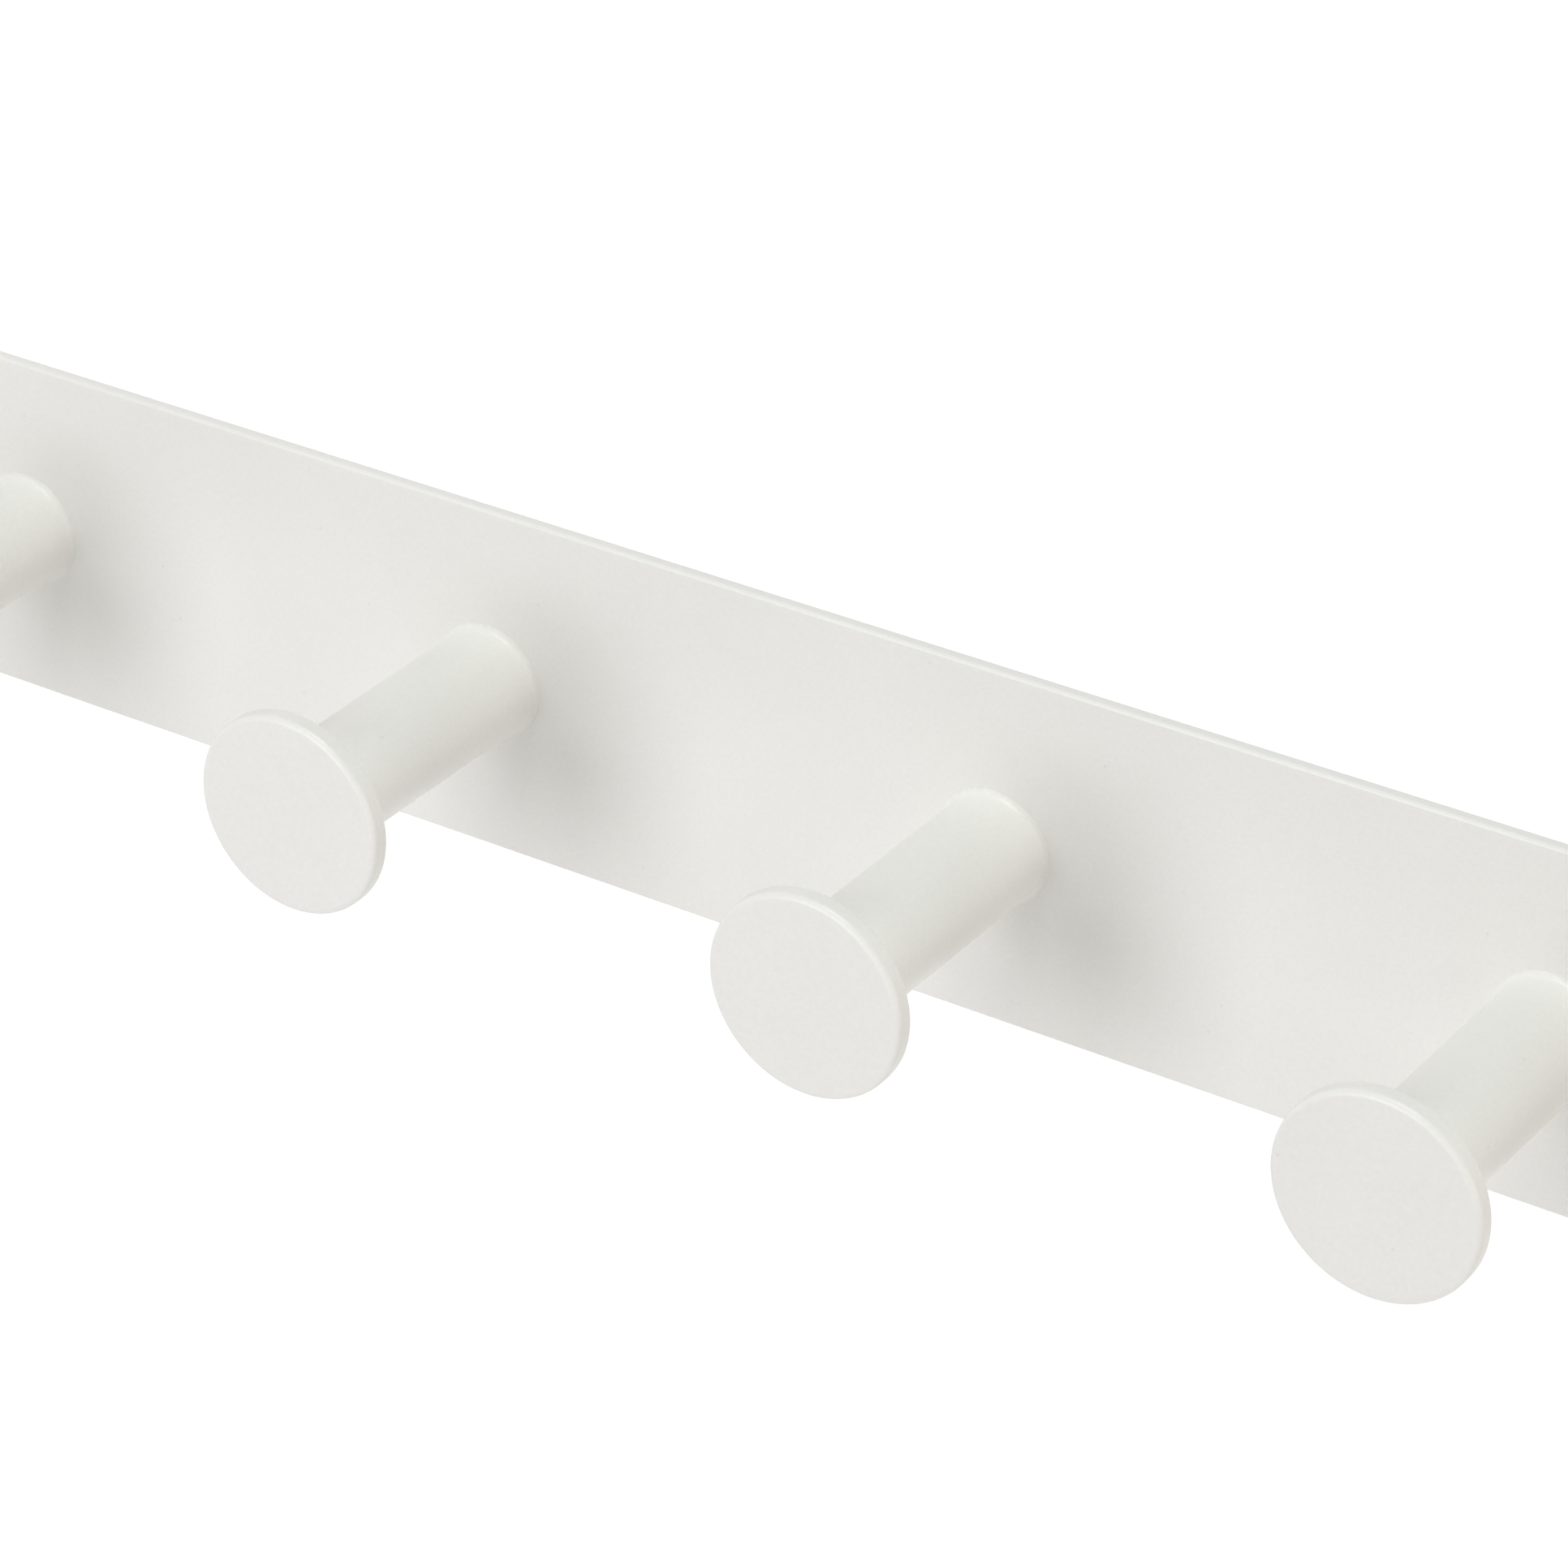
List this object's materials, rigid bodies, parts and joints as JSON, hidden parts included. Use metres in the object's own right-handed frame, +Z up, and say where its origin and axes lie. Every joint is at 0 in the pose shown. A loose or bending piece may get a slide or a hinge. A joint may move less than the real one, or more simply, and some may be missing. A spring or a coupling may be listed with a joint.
{
  "type": "wall coat rail",
  "caption": "Wall-hung coat rail: a flat powder-coated steel strip with a row of round pegs that have flared feet and flat disc heads, hung on keyhole hangers.",
  "frame": {"origin": "on the wall plane, behind the middle of the rail, level with the pegs' axes", "axes": "+X along the rail, to the right of a person facing it; +Y into the wall, so that the pegs point along -Y; +Z up"},
  "size_m": [0.6, 0.0647, 0.0644],
  "materials": {
    "powder_coat": "satin white powder coat with fine orange peel",
    "zinc_plate": "bright zinc plate",
    "spring_steel": "dull zinc plate",
    "galvanised_steel": "galvanised sheet",
    "bumper_rubber": "matte soft rubber"
  },
  "bodies": {
    "root": {"rail": "powder_coat", "peg_1": "powder_coat", "peg_2": "powder_coat", "peg_3": "powder_coat", "peg_4": "powder_coat", "peg_5": "powder_coat", "peg_6": "powder_coat", "peg_screw_1": "zinc_plate", "peg_screw_2": "zinc_plate", "peg_screw_3": "zinc_plate", "peg_screw_4": "zinc_plate", "peg_screw_5": "zinc_plate", "peg_screw_6": "zinc_plate", "lock_washer_1": "spring_steel", "lock_washer_2": "spring_steel", "lock_washer_3": "spring_steel", "lock_washer_4": "spring_steel", "lock_washer_5": "spring_steel", "lock_washer_6": "spring_steel", "hanger_left": "galvanised_steel", "hanger_right": "galvanised_steel", "bumper_top_left": "bumper_rubber", "bumper_top_right": "bumper_rubber", "bumper_bottom_left": "bumper_rubber", "bumper_bottom_right": "bumper_rubber"}
  },
  "joints": []
}
